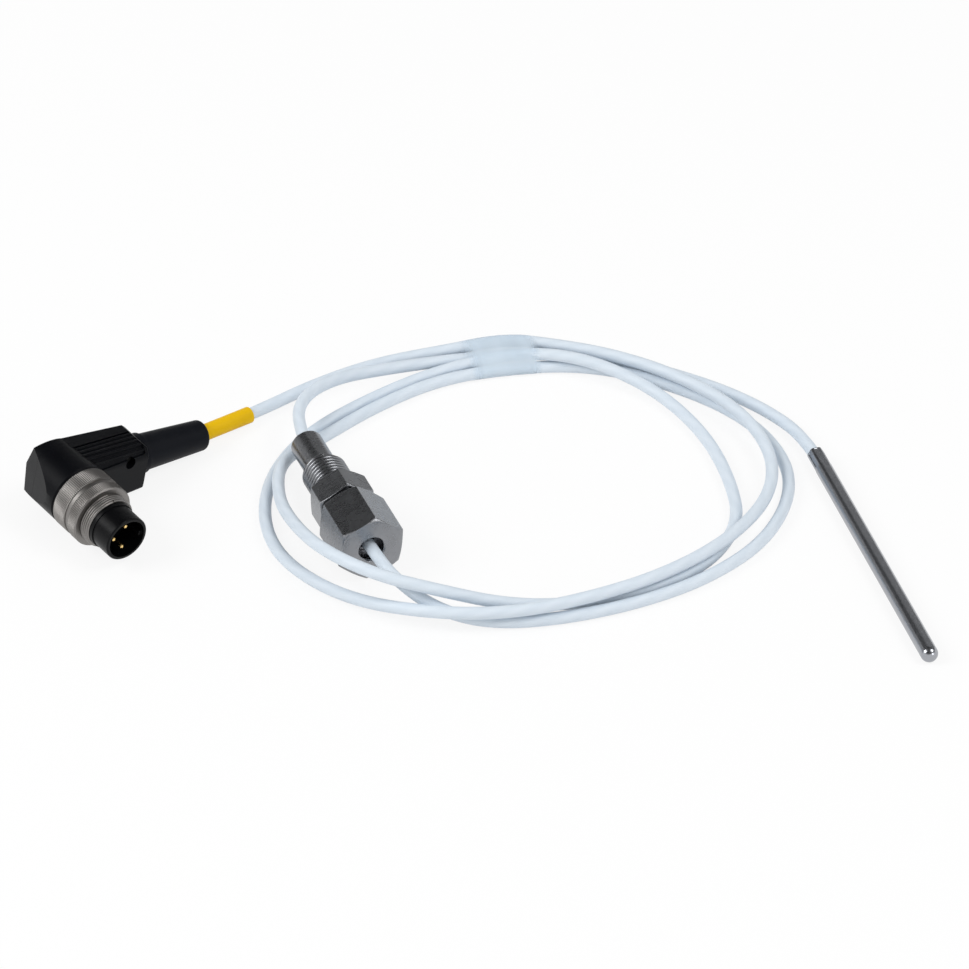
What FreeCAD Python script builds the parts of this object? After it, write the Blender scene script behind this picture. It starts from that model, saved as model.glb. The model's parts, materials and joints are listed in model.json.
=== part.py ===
import FreeCAD, Part
import math
import os

os.makedirs("parts", exist_ok=True)
V = FreeCAD.Vector

# All sizes in millimetres, +Z up, floor at z = 0.

# Probe sheath; it lies along Y with its round tip towards -Y.
SHEATH_DIA = 5.0
SHEATH_LENGTH = 100.0
SHEATH_WALL = 0.5
CRIMP_LENGTH = 7.5
CRIMP_WALL = 0.45
SHEATH_MOUTH = V(0, 50, 2.5)

# Inside the sheath, measured from its mouth.
CABLE_GRIP = 10.0
SEAL_END = 20.0
ELEMENT_TO_TIP = 3.95
ELEMENT_DIA = 2.4
ELEMENT_LENGTH = 12.0
LEAD_DIA = 0.5
LEAD_CIRCLE = 1.9

# Cable and what sits on it.
CABLE_DIA = 3.6
ARC_SHARE = 0.45
MARKER_DIA = 4.9
MARKER_GAP = 0.8
MARKER_LENGTH = 17.4

# Clear film round the coil: station x, then the inner, outer and top cable centres that it wraps.
FILM_STATIONS = [
    (-85.0, 116.2, 129.3, 4.8),
    (-74.0, 115.7, 126.5, 6.4),
    (-63.0, 114.1, 122.1, 6.4),
]
FILM_LOW = 1.89
FILM_THICKNESS = 0.08
FILM_CORNER = 1.7

# Compression fitting, measured from the spigot end along its level axis.
FITTING_START = V(-142.48, 84.34, 10.45)
FITTING_HEADING = -84.7
SPIGOT_DIA = 9.5
SPIGOT_LENGTH = 14.0
PIPE_THREAD_DIA = 13.157
PIPE_THREAD_END = 26.0
BODY_FLATS = 16.0
BODY_HEX_END = 35.0
BODY_ROLL = 90.0
UNION_THREAD_DIA = 14.0
UNION_THREAD_END = 45.2
FITTING_BORE = 5.3
CONE_START = 40.5
CONE_STEP = 0.55
CONE_SPREAD = 2.0
NUT_FLATS = 18.0
NUT_START = 37.0
NUT_END = 54.5
NUT_SHOULDER = 49.3
NUT_HOLE_ROOM = 0.95
NUT_ROLL = 82.0
TIGHTEN_TRAVEL = 1.5
THRUST_RING_ROOM = 0.35
THRUST_RING_WIDTH = 2.35
FERRULE_START = 42.2
FERRULE_LIP = 0.35

# Plug frame: local x is the pin axis, local y the cable axis, local z up.
PLUG_CROSSING = V(-214.7, 84.86, 12.77)
PLUG_HEADING = -67.08
PLUG_DIP = 5.64
PLUG_ROLL = -9.56
# Blocks that cut the housing reach this far, past all of it.
FAR = 40.0

# Angled housing.
HEAD_DIA = 19.2
HEAD_BACK = -9.1
HEAD_FRONT = 10.4
ARM_LENGTH = 26.5
ARM_TOP = 9.3
ARM_END_TOP = 7.5
ARM_BOTTOM = 8.5
ARM_END_BOTTOM = 7.35
ARM_FRONT = 9.2
ARM_END_FRONT = 7.2
ARM_BACK = 7.5
ARM_END_BACK = 6.5
ARM_END_CHAMFER = 0.6
ARM_CORNER = 1.5
ARM_RIB_CORNER = 4.5
ARM_BACK_CORNER = 1.5
HOUSING_WALL = 1.5
SPLIT = -2.2
FACET_START = 7.3
FACET_TILT = 16.2
UPPER_BACK_SLOPE = 23.0
LOWER_BACK_SLOPE = 11.0
BACK_TAPER = 1.8
END_BEVEL_LENGTH = 1.9
END_BEVEL_SLOPE = 40.0
HEAD_HOLLOW_BACK = -5.0
HEAD_HOLLOW_DIA = 10.0
END_WALL = 2.5
RIB_COUNT = 5
RIB_PITCH = 1.72
RIB_DIA = 0.9
RIB_SINK = 0.5
RIB_MARGIN = 1.6
STRIP_EDGE = 0.1
STRIP_END_EDGE = -1.9
RIB_LOW = 5.2

# Housing screw and the saddle that grips the cable.
SCREW_FROM_END = 7.25
SCREW_UP = 3.95
SCREW_DIA = 1.9
SCREW_HEAD_DIA = 3.3
SCREW_HEAD_BACK = 4.0
SCREW_HEAD_HEIGHT = 1.5
SCREW_SLOT_WIDTH = 0.5
SCREW_SLOT_DEPTH = 0.6
SCREW_TIP = -4.8
SCREW_BLOCK = 4.4
SCREW_BOSS_WALL = 0.8
CLAMP_AT = 11.0
CLAMP_WIDTH = 4.0
CLAMP_FACE = -0.9
CLAMP_BACK = -3.6
CLAMP_SCREW_DIA = 1.6
CLAMP_SCREW_HEAD = 2.8
CLAMP_SCREW_HEAD_HEIGHT = 1.2
CLAMP_SCREW_TIP = 3.0
CLAMP_SCREW_U = 3.7

# Contact carrier, pins and coupling ring.
INSERT_DIA = 13.7
INSERT_FRONT = 33.0
INSERT_FLANGE_DIA = 14.8
INSERT_FLANGE_FRONT = 8.1
INSERT_FLANGE_BACK = 5.2
INSERT_CUP_DIA = 11.6
INSERT_CUP_FLOOR = 3.0
INSERT_CUP_WALL = 1.0
INSERT_COLLAR_DIA = 14.4
INSERT_COLLAR_WIDTH = 1.3
RECESS_DEPTH = 8.0
RECESS_WALL = 1.0
KEY_WIDTH = 1.6
KEY_HEIGHT = 1.0
PIN_DIA = 1.45
PIN_CIRCLE = 7.0
PIN_SETBACK = 1.3
PIN_REAR = 1.5
PIN_ANGLES = (90.0, 180.0, 270.0)
CUP_DIA = 1.0
CUP_DEPTH = 1.8
WIRE_DIA = 0.7
RING_DIA = 19.4
RING_BACK = 10.6
RING_GROOVE_START = 16.2
RING_GROOVE_END = 17.6
RING_GROOVE_DEPTH = 0.4
RING_FRONT = 21.4
COUPLING_THREAD_DIA = 16.0
COUPLING_THREAD_END = 24.8
CLIP_BACK = 12.2
CLIP_WIDTH = 1.0
CLIP_DEPTH = 0.6
CLIP_DIA = 16.6
CLIP_GAP = 3.0

# Kink boot along the cable axis.
BOOT_FLANGE_DIA = 10.0
BOOT_FLANGE_WIDTH = 1.4
BOOT_SHANK_DIA = 8.2
BOOT_COLLAR_DIA = 12.0
BOOT_COLLAR_LENGTH = 2.3
BOOT_LARGE = 10.9
BOOT_SMALL = 9.0
BOOT_LENGTH = 24.8
BOOT_ROUND = 1.2

# Clearances, all radial or face to face.
RUNNING = 0.05
ASSEMBLY = 0.1
CABLE_ROOM = 0.05
MARKER_ROOM = 0.3
BOOT_ROOM = 0.5
EDGE = 0.5

# Cable route, corner by corner from inside the sheath to inside the plug.
ROUTE = [
    # sheath to the film
    (0, 40, 2.5), (0, 57.5, 2.5), (-6, 74.5, 2.1), (-17.5, 91.3, 1.9), (-35.5, 108.2, 1.9),
    (-58, 121, 1.9), (-84, 125.2, 1.9),
    # climb to the spigot and straight through the fitting
    (-108, 122.5, 4.6), (-127, 116.5, 8.4), (-140, 105, 10.45), (-142.9, 88, 10.45),
    (-141, 70, 10.45), (-139.4, 50, 10.45), (-137.6, 31, 10.45), (-134.6, 16, 9.6),
    # down to the floor and round the outer turn
    (-125.4, 6.2, 4.4), (-112, -0.8, 1.9), (-93, -4.2, 1.9), (-70, -3.2, 1.9), (-47, 2.6, 1.9),
    (-25.6, 15.4, 1.9), (-10.8, 37, 1.9), (-9, 59, 1.9), (-17, 80.5, 1.9), (-34, 100.2, 1.9),
    (-51, 111.8, 1.9), (-71, 116.4, 1.9), (-93, 116.8, 1.9), (-115.5, 108.6, 1.9), (-136, 96.6, 1.9),
    # up along the nut, over the lead that leaves it, round the inner turn
    (-150.6, 84.5, 5.6), (-155.6, 66, 6.4), (-155.2, 46.5, 10.2), (-151.5, 27.5, 14.4),
    (-140.5, 12.4, 14.8), (-124, 6.8, 10.2), (-106, 4.2, 3.6), (-88, 1.2, 1.9), (-66, 1.4, 1.9),
    (-45.4, 8.6, 1.9), (-31, 25, 1.9), (-27.3, 45, 1.9), (-27.2, 67.5, 1.9), (-33, 89.3, 2.4),
    (-44.5, 104, 4.9), (-57.5, 113.4, 6.2), (-72, 119.6, 4.9), (-93, 121, 1.9), (-115, 113.3, 1.9),
    # left side on the floor, then on top of the other turns
    (-138, 101.2, 1.9), (-155, 83.3, 1.9), (-162.6, 62, 1.9), (-161.2, 41.3, 1.9), (-147, 19.8, 2.2),
    (-127, 1.8, 6.6), (-107, -3.2, 6.2), (-86, -2.4, 5.9), (-62, 2, 5.9), (-39, 12.4, 5.9),
    (-20, 30.5, 4.9), (-12.6, 51, 5.1), (-16, 74, 6), (-28.8, 95, 6.1), (-43.5, 110, 5.9),
    (-58, 119.2, 5.9), (-71, 125.3, 6.3), (-89, 129.8, 2.5),
    # out to the marker, the boot and the plug
    (-110, 129.8, 1.9), (-130.5, 124, 1.9), (-149.3, 115.1, 2.2), (-170.51, 104.41, 4.67),
    (-189.45, 96.03, 8.14), (-207.48, 88.05, 11.45),
]


def turned(profile):
    """Solid turned about local x from (x, radius) corners."""
    corners = [V(x, 0, radius) for x, radius in profile]
    face = Part.Face(Part.makePolygon(corners + corners[:1]))
    return face.revolve(V(0, 0, 0), V(1, 0, 0), 360)


def rod(start, end, dia, y=0.0, z=0.0):
    """Round bar parallel to local x."""
    return Part.makeCylinder(dia / 2, end - start, V(start, y, z), V(1, 0, 0))


def domed_rod(start, end, dia):
    """Round bar along local x with a half-ball end."""
    r = dia / 2
    low = V(start, 0, 0)
    edge = V(start, 0, r)
    shoulder = V(end - r, 0, r)
    middle = V(end - r + r * math.sin(math.pi / 4), 0, r * math.cos(math.pi / 4))
    tip = V(end, 0, 0)
    edges = [Part.LineSegment(low, edge), Part.LineSegment(edge, shoulder),
             Part.Arc(shoulder, middle, tip), Part.LineSegment(tip, low)]
    face = Part.Face(Part.Wire([part.toShape() for part in edges]))
    return face.revolve(V(0, 0, 0), V(1, 0, 0), 360)


def block(low, high):
    """Box between two opposite corners."""
    low = V(*low)
    size = V(*high) - low
    return Part.makeBox(size.x, size.y, size.z, low)


def hexagon(flats, start, end, roll):
    """Hexagon bar along local x."""
    reach = flats / math.sqrt(3)
    corners = []
    for step in range(7):
        angle = math.radians(roll + 60 * step)
        corners.append(V(start, reach * math.cos(angle), reach * math.sin(angle)))
    return Part.Face(Part.makePolygon(corners)).extrude(V(end - start, 0, 0))


def chamfered_hexagon(flats, start, end, roll):
    """Hexagon bar with both ends turned down to a cone."""
    reach = flats / math.sqrt(3) + 0.01
    face = flats / 2 - 0.1
    drop = (reach - face) * math.tan(math.radians(30))
    limit = turned([(start, 0), (start, face), (start + drop, reach),
                    (end - drop, reach), (end, face), (end, 0)])
    return hexagon(flats, start, end, roll).common(limit)


def corner(before, at, after, reach):
    """Start, middle, end and radius of the arc that rounds one corner."""
    back = (before - at).normalize()
    ahead = (after - at).normalize()
    half = back.getAngle(ahead) / 2
    radius = reach * math.tan(half)
    middle = at + (back + ahead).normalize() * (radius / math.sin(half) - radius)
    return at + back * reach, middle, at + ahead * reach, radius


def rounded_path(points):
    """Straight runs joined by tangent arcs, with the arc radii."""
    edges = []
    radii = []
    here = points[0]
    for before, at, after in zip(points, points[1:], points[2:]):
        reach = ARC_SHARE * min(at.distanceToPoint(before), at.distanceToPoint(after))
        start, middle, end, radius = corner(before, at, after, reach)
        edges.append(Part.LineSegment(here, start).toShape())
        edges.append(Part.Arc(start, middle, end).toShape())
        radii.append(radius)
        here = end
    edges.append(Part.LineSegment(here, points[-1]).toShape())
    return Part.Wire(edges), radii


def cord(points, dia):
    """Round cord along a rounded path, with the path and its radii."""
    path, radii = rounded_path(points)
    circle = Part.makeCircle(dia / 2, points[0], points[1] - points[0])
    return path.makePipe(Part.Face(Part.Wire(circle))), path, radii


def outline(corners, radii):
    """Closed outline with square corners rounded."""
    arcs = []
    count = len(corners)
    for i in range(count):
        arcs.append(corner(corners[i - 1], corners[i], corners[(i + 1) % count], radii[i]))
    edges = []
    for i in range(count):
        start, middle, end, radius = arcs[i]
        edges.append(Part.Arc(start, middle, end).toShape())
        edges.append(Part.LineSegment(end, arcs[(i + 1) % count][0]).toShape())
    return Part.Wire(edges)


def save(name, shape, place):
    """Write one piece in world position."""
    shape.transformed(place.toMatrix(), True).exportStep("parts/" + name + ".step")
    print(name, round(shape.Volume, 2), len(shape.Solids), shape.isValid())


WORLD = FreeCAD.Placement()
PROBE = FreeCAD.Placement(SHEATH_MOUTH, FreeCAD.Rotation(-90, 0, 0))
FITTING = FreeCAD.Placement(FITTING_START, FreeCAD.Rotation(FITTING_HEADING, 0, 0))
PLUG = FreeCAD.Placement(PLUG_CROSSING, FreeCAD.Rotation(PLUG_HEADING, PLUG_DIP, PLUG_ROLL))
BOOT = PLUG.multiply(FreeCAD.Placement(V(0, 0, 0), FreeCAD.Rotation(90, 0, 0)))

# Probe end.
sheath_bore = SHEATH_DIA - 2 * SHEATH_WALL
grip_bore = CABLE_DIA + 2 * CABLE_ROOM
crimp = rod(0, CRIMP_LENGTH, SHEATH_DIA).common(hexagon(grip_bore + 2 * CRIMP_WALL, 0, CRIMP_LENGTH, 0))
sheath = domed_rod(CRIMP_LENGTH, SHEATH_LENGTH, SHEATH_DIA).fuse(crimp)
hollow = domed_rod(CRIMP_LENGTH, SHEATH_LENGTH - SHEATH_WALL, sheath_bore)
hollow = hollow.fuse(rod(-1, CRIMP_LENGTH + 1, grip_bore))
save("probe_sheath", sheath.cut(hollow).removeSplitter(), PROBE)

lead_spots = []
for step in range(3):
    angle = math.radians(90 + 120 * step)
    lead_spots.append((LEAD_CIRCLE / 2 * math.cos(angle), LEAD_CIRCLE / 2 * math.sin(angle)))
lead_holes = [rod(0, SHEATH_LENGTH, LEAD_DIA + 2 * RUNNING, y, z) for y, z in lead_spots]
filling = sheath_bore - 2 * RUNNING
element_start = SHEATH_LENGTH - ELEMENT_TO_TIP - ELEMENT_LENGTH
rod_end = element_start - RUNNING
save("end_seal", rod(CABLE_GRIP + RUNNING, SEAL_END, filling).cut(lead_holes), PROBE)
save("element_insulator", rod(SEAL_END + RUNNING, rod_end, filling).cut(lead_holes), PROBE)
save("sensing_element", rod(element_start, element_start + ELEMENT_LENGTH, ELEMENT_DIA), PROBE)
leads = [rod(CABLE_GRIP + RUNNING, rod_end, LEAD_DIA, y, z) for y, z in lead_spots]
save("element_leads", Part.makeCompound(leads), PROBE)

# Cable, marker sleeve and film.
route = [V(*point) for point in ROUTE]
cable, cable_path, cable_radii = cord(route, CABLE_DIA)
save("cable", cable, WORLD)
section = math.pi * CABLE_DIA ** 2 / 4
print("cable length", round(cable_path.Length, 1))
print("volume against section times length", round(cable.Volume / (section * cable_path.Length), 5))
print("arc radii", " ".join(str(round(radius, 1)) for radius in cable_radii))

boot_exit = route[-3]
lead_out = (route[-4] - boot_exit).normalize()
MARKER = FreeCAD.Placement(boot_exit, FreeCAD.Rotation(V(1, 0, 0), lead_out))
boot_end = ARM_LENGTH + BOOT_LENGTH
marker_start = boot_end - boot_exit.distanceToPoint(PLUG_CROSSING) + MARKER_GAP
marker = rod(marker_start, marker_start + MARKER_LENGTH, MARKER_DIA)
marker_bore = rod(marker_start - 1, marker_start + MARKER_LENGTH + 1, CABLE_DIA + 2 * MARKER_ROOM)
save("marker_sleeve", marker.cut(marker_bore), MARKER)


def film_loft(grow):
    """Solid through the film stations, grown outward."""
    wires = []
    reach = CABLE_DIA / 2 + grow
    low = FILM_LOW - reach
    for x, near, far, top in FILM_STATIONS:
        corners = [V(x, near - reach, low), V(x, far + reach, low),
                   V(x, far + reach, top + reach), V(x, near - reach, top + reach)]
        wires.append(outline(corners, [FILM_CORNER + grow] * 4))
    return Part.makeLoft(wires, True, True)


save("coil_film", film_loft(FILM_THICKNESS).cut(film_loft(0)), WORLD)

# Compression fitting.
bore_r = FITTING_BORE / 2
cone_small = bore_r + CONE_STEP
cone_large = cone_small + CONE_SPREAD
nut_bore_r = UNION_THREAD_DIA / 2 + RUNNING
nut_hole_r = bore_r + NUT_HOLE_ROOM
body = turned([(0, 0), (0, SPIGOT_DIA / 2 - EDGE), (EDGE, SPIGOT_DIA / 2),
               (SPIGOT_LENGTH, SPIGOT_DIA / 2),
               (SPIGOT_LENGTH, PIPE_THREAD_DIA / 2 - EDGE),
               (SPIGOT_LENGTH + EDGE, PIPE_THREAD_DIA / 2),
               (PIPE_THREAD_END, PIPE_THREAD_DIA / 2), (PIPE_THREAD_END, 0)])
body = body.fuse(chamfered_hexagon(BODY_FLATS, PIPE_THREAD_END, BODY_HEX_END, BODY_ROLL))
union_thread = turned([(BODY_HEX_END, 0), (BODY_HEX_END, UNION_THREAD_DIA / 2),
                       (UNION_THREAD_END - EDGE, UNION_THREAD_DIA / 2),
                       (UNION_THREAD_END, UNION_THREAD_DIA / 2 - EDGE), (UNION_THREAD_END, 0)])
cone = turned([(-1, 0), (-1, bore_r), (CONE_START, bore_r), (CONE_START, cone_small),
               (UNION_THREAD_END, cone_large), (UNION_THREAD_END + 1, cone_large), (UNION_THREAD_END + 1, 0)])
save("fitting_body", body.fuse(union_thread).cut(cone).removeSplitter(), FITTING)

nut_bore = turned([(NUT_START - 1, 0), (NUT_START - 1, nut_bore_r), (NUT_SHOULDER, nut_bore_r),
                   (NUT_SHOULDER, nut_hole_r), (NUT_END - EDGE, nut_hole_r), (NUT_END, nut_hole_r + EDGE),
                   (NUT_END + 1, nut_hole_r + EDGE), (NUT_END + 1, 0)])
save("union_nut", chamfered_hexagon(NUT_FLATS, NUT_START, NUT_END, NUT_ROLL).cut(nut_bore), FITTING)

ring_end = NUT_SHOULDER - RUNNING
ring_start = ring_end - THRUST_RING_WIDTH
thrust = rod(ring_start, ring_end, 2 * (nut_bore_r - THRUST_RING_ROOM)).cut(rod(0, NUT_END, FITTING_BORE))
save("thrust_ring", thrust, FITTING)

ferrule_end = ring_start - RUNNING
slope = CONE_SPREAD / (UNION_THREAD_END - CONE_START)
ferrule_small = bore_r + FERRULE_LIP
ferrule_large = ferrule_small + slope * (UNION_THREAD_END - FERRULE_START)
ferrule = turned([(FERRULE_START, bore_r), (FERRULE_START, ferrule_small), (UNION_THREAD_END, ferrule_large),
                  (ferrule_end, ferrule_large), (ferrule_end, bore_r)])
save("ferrule", ferrule, FITTING)
cone_here = cone_small + slope * (FERRULE_START - TIGHTEN_TRAVEL - CONE_START)
print("room left at the cone when tightened", round(cone_here - ferrule_small, 3))

# Angled housing: a round head and a rounded arm, split across the pin axis.
head_r = HEAD_DIA / 2
head = turned([(HEAD_BACK, 0), (HEAD_BACK, head_r - 2 * EDGE), (HEAD_BACK + 2 * EDGE, head_r),
               (HEAD_FRONT - EDGE, head_r), (HEAD_FRONT, head_r - EDGE), (HEAD_FRONT, 0)])


def tapered(at_head, at_end, c):
    """A size of the arm that changes evenly from the head to the cable end."""
    return at_head + (at_end - at_head) * c / ARM_LENGTH


def arm_top(c):
    """Height of the arm's top."""
    return tapered(ARM_TOP, ARM_END_TOP, c)


def arm_bottom(c):
    """Depth of the arm's underside."""
    return tapered(ARM_BOTTOM, ARM_END_BOTTOM, c)


def arm_front(c):
    """Reach of the arm's front face."""
    return tapered(ARM_FRONT, ARM_END_FRONT, c)


def arm_solid(sink):
    """Arm of the housing, its sides sunk inward."""
    wires = []
    for c in (0, ARM_LENGTH):
        front = arm_front(c) - sink
        back = sink - tapered(ARM_BACK, ARM_END_BACK, c)
        top = arm_top(c) - sink
        bottom = sink - arm_bottom(c)
        corners = [V(front, c, top), V(back, c, top), V(back, c, bottom), V(front, c, bottom)]
        radii = [ARM_RIB_CORNER, ARM_BACK_CORNER, ARM_CORNER, ARM_CORNER]
        wires.append(outline(corners, [max(radius - sink, EDGE) for radius in radii]))
    return Part.makeLoft(wires, True, True)


def strip_edge(c):
    """Front edge of the smooth top strip, where the ribbed panel starts."""
    return tapered(STRIP_EDGE, STRIP_END_EDGE, c)


def rib_point(c, along):
    """Centre of a rib, a distance from the strip's edge over the top and round the front corner."""
    bend = ARM_RIB_CORNER - RIB_SINK
    bend_start = arm_front(c) - ARM_RIB_CORNER
    turn = max(strip_edge(c) + along - bend_start, 0) / bend
    a = min(strip_edge(c) + along, bend_start) + bend * math.sin(turn)
    return V(a, c, arm_top(c) - ARM_RIB_CORNER + bend * math.cos(turn))


arm = arm_solid(0)
end_edges = [edge for edge in arm.Edges if edge.BoundBox.YMin > ARM_LENGTH - 0.01]
arm = arm.makeChamfer(ARM_END_CHAMFER, end_edges)
facet = Part.makeBox(FAR, FAR, 2 * FAR, V(-FAR, -FAR, -FAR))
facet.rotate(V(0, 0, 0), V(0, 0, 1), -FACET_TILT)
facet.translate(V(FACET_START, -head_r, 0))
upper_back = Part.makeBox(FAR, 2 * FAR, FAR, V(-FAR, -FAR, 0))
upper_back.rotate(V(0, 0, 0), V(0, 1, 0), UPPER_BACK_SLOPE)
upper_back.rotate(V(0, 0, 0), V(0, 0, 1), -BACK_TAPER)
upper_back.translate(V(HEAD_BACK, 0, 0))
lower_back = Part.makeBox(FAR, 2 * FAR, FAR, V(-FAR, -FAR, -FAR))
lower_back.rotate(V(0, 0, 0), V(0, 1, 0), -LOWER_BACK_SLOPE)
lower_back.translate(V(HEAD_BACK, 0, 0))
end_bevel = Part.makeBox(2 * FAR, FAR, FAR, V(-FAR, 0, 0))
end_bevel.rotate(V(0, 0, 0), V(1, 0, 0), -END_BEVEL_SLOPE)
bevel_start = ARM_LENGTH - END_BEVEL_LENGTH
end_bevel.translate(V(0, bevel_start, arm_top(bevel_start)))
outer = head.fuse(arm).cut([facet, upper_back, lower_back, end_bevel]).removeSplitter()

cavity_back = HOUSING_WALL - ARM_BACK
cavity_end = ARM_LENGTH - END_WALL
arm_cavity = arm_solid(HOUSING_WALL).common(block((-FAR, 0, -FAR), (FAR, cavity_end, FAR)))
arm_cavity = arm_cavity.cut(upper_back.translated(V(HOUSING_WALL, 0, -EDGE)))
within_walls = arm_solid(HOUSING_WALL - EDGE)
shank_hole = Part.makeCylinder(BOOT_SHANK_DIA / 2 + RUNNING, 2 * END_WALL + 2,
                               V(0, cavity_end - END_WALL - 1, 0), V(0, 1, 0))
seat_back = INSERT_FLANGE_BACK - ASSEMBLY
seat_front = INSERT_FLANGE_FRONT + ASSEMBLY
screw_c = ARM_LENGTH - SCREW_FROM_END
screw_u = SCREW_UP
screw_low = CABLE_DIA / 2 + 3 * RUNNING
screw_block = block((SCREW_TIP - 2 * EDGE, screw_c - SCREW_BLOCK / 2, screw_low),
                    (FAR, screw_c + SCREW_BLOCK / 2, FAR)).common(within_walls)
cable_room = Part.makeCylinder(CABLE_DIA / 2 + ASSEMBLY, ARM_LENGTH, V(0, 0, 0), V(0, 1, 0))
clamp_low = CLAMP_AT - CLAMP_WIDTH / 2
clamp_high = CLAMP_AT + CLAMP_WIDTH / 2
clamp_reach = min(arm_top(clamp_high), arm_bottom(clamp_high)) - HOUSING_WALL - 2 * ASSEMBLY
clamp_holes = []
for side in (-1, 1):
    clamp_holes.append(rod(cavity_back, CLAMP_SCREW_TIP + ASSEMBLY, CLAMP_SCREW_DIA + 2 * RUNNING,
                           CLAMP_AT, side * CLAMP_SCREW_U))
front_half = block((SPLIT + RUNNING / 2, -FAR, -FAR), (FAR, FAR, FAR))
rear_half = block((-FAR, -FAR, -FAR), (SPLIT - RUNNING / 2, FAR, FAR))

# Front half: seat for the carrier, cable bridge, screw block and grip ribs.
rib_to = ARM_LENGTH - RIB_MARGIN
panel = Part.makePolygon([V(strip_edge(0), 0, RIB_LOW), V(FAR, 0, RIB_LOW), V(FAR, rib_to, RIB_LOW),
                          V(strip_edge(rib_to), rib_to, RIB_LOW), V(strip_edge(0), 0, RIB_LOW)])
pocket = Part.Face(panel).extrude(V(0, 0, FAR)).cut([arm_solid(RIB_SINK), head])
shell = outer.cut(pocket)
for step in range(RIB_COUNT):
    rib_start = rib_point(0, RIB_PITCH * (step + 0.5))
    rib_run = rib_point(rib_to + EDGE, RIB_PITCH * (step + 0.5)) - rib_start
    shell = shell.fuse(Part.makeCylinder(RIB_DIA / 2, rib_run.Length, rib_start, rib_run))
shell = shell.cut([end_bevel, arm_cavity, shank_hole,
                   rod(SPLIT - 1, seat_back + 1, INSERT_CUP_DIA + 2 * ASSEMBLY),
                   rod(seat_back, seat_front, INSERT_FLANGE_DIA + 2 * ASSEMBLY),
                   rod(0, HEAD_FRONT + 1, INSERT_DIA + 2 * ASSEMBLY)])
bridge = block((CLAMP_FACE, clamp_low, -FAR), (FAR, clamp_high, FAR)).common(within_walls)
screw_boss = rod(SCREW_HEAD_BACK - HOUSING_WALL, FAR, SCREW_HEAD_DIA + 2 * ASSEMBLY + 2 * SCREW_BOSS_WALL,
                 screw_c, screw_u).common(within_walls)
shell = shell.fuse([bridge.cut(cable_room), screw_block, screw_boss])
shell = shell.cut([rod(-FAR, FAR, SCREW_DIA + 2 * ASSEMBLY, screw_c, screw_u),
                   rod(SCREW_HEAD_BACK, FAR, SCREW_HEAD_DIA + 2 * ASSEMBLY, screw_c, screw_u)])
shell = shell.cut(clamp_holes)
save("plug_body", shell.common(front_half).removeSplitter(), PLUG)

# Rear half.
shell = outer.cut([pocket, arm_cavity, shank_hole,
                   rod(HEAD_HOLLOW_BACK, 0, HEAD_HOLLOW_DIA)])
shell = shell.fuse(screw_block)
shell = shell.cut(rod(SCREW_TIP - ASSEMBLY, FAR, SCREW_DIA + 2 * RUNNING, screw_c, screw_u))
save("plug_cover", shell.common(rear_half).removeSplitter(), PLUG)

head_top = SCREW_HEAD_BACK + RUNNING + SCREW_HEAD_HEIGHT
screw = rod(SCREW_TIP, SCREW_HEAD_BACK + 1, SCREW_DIA, screw_c, screw_u)
screw = screw.fuse(rod(SCREW_HEAD_BACK + RUNNING, head_top, SCREW_HEAD_DIA, screw_c, screw_u))
slot = block((head_top - SCREW_SLOT_DEPTH, screw_c - SCREW_SLOT_WIDTH / 2, -FAR),
             (FAR, screw_c + SCREW_SLOT_WIDTH / 2, FAR))
save("housing_screw", screw.cut(slot).removeSplitter(), PLUG)

clamp = block((CLAMP_BACK, clamp_low, -clamp_reach), (CLAMP_FACE - ASSEMBLY, clamp_high, clamp_reach))
save("cable_clamp", clamp.cut([cable_room] + clamp_holes), PLUG)
clamp_screws = []
for side in (-1, 1):
    shank = rod(CLAMP_BACK - 1, CLAMP_SCREW_TIP, CLAMP_SCREW_DIA, CLAMP_AT, side * CLAMP_SCREW_U)
    top = CLAMP_BACK - RUNNING
    cap = rod(top - CLAMP_SCREW_HEAD_HEIGHT, top, CLAMP_SCREW_HEAD, CLAMP_AT, side * CLAMP_SCREW_U)
    clamp_screws.append(shank.fuse(cap).removeSplitter())
save("clamp_screws", Part.makeCompound(clamp_screws), PLUG)

# Contact carrier.
clip_floor = INSERT_DIA / 2 - CLIP_DEPTH
recess_floor = INSERT_FRONT - RECESS_DEPTH
recess_r = INSERT_DIA / 2 - RECESS_WALL
flange_r = INSERT_FLANGE_DIA / 2
cup_r = INSERT_CUP_DIA / 2
cup_back = SPLIT + ASSEMBLY
collar_r = INSERT_COLLAR_DIA / 2
collar_back = COUPLING_THREAD_END + ASSEMBLY
collar_front = collar_back + INSERT_COLLAR_WIDTH
carrier = turned([(INSERT_CUP_FLOOR, 0), (INSERT_CUP_FLOOR, cup_r - INSERT_CUP_WALL),
                  (cup_back, cup_r - INSERT_CUP_WALL), (cup_back, cup_r),
                  (INSERT_FLANGE_BACK, cup_r), (INSERT_FLANGE_BACK, flange_r),
                  (INSERT_FLANGE_FRONT, flange_r), (INSERT_FLANGE_FRONT, INSERT_DIA / 2),
                  (CLIP_BACK - RUNNING, INSERT_DIA / 2), (CLIP_BACK - RUNNING, clip_floor),
                  (CLIP_BACK + CLIP_WIDTH + RUNNING, clip_floor),
                  (CLIP_BACK + CLIP_WIDTH + RUNNING, INSERT_DIA / 2),
                  (collar_back, INSERT_DIA / 2), (collar_back, collar_r), (collar_front, collar_r),
                  (collar_front, INSERT_DIA / 2),
                  (INSERT_FRONT - 0.3, INSERT_DIA / 2), (INSERT_FRONT, INSERT_DIA / 2 - 0.3),
                  (INSERT_FRONT, recess_r), (recess_floor, recess_r), (recess_floor, 0)])
key = block((recess_floor - 0.5, recess_r - KEY_HEIGHT, -KEY_WIDTH / 2),
            (INSERT_FRONT - 2 * EDGE, recess_r + RECESS_WALL / 2, KEY_WIDTH / 2))
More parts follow.
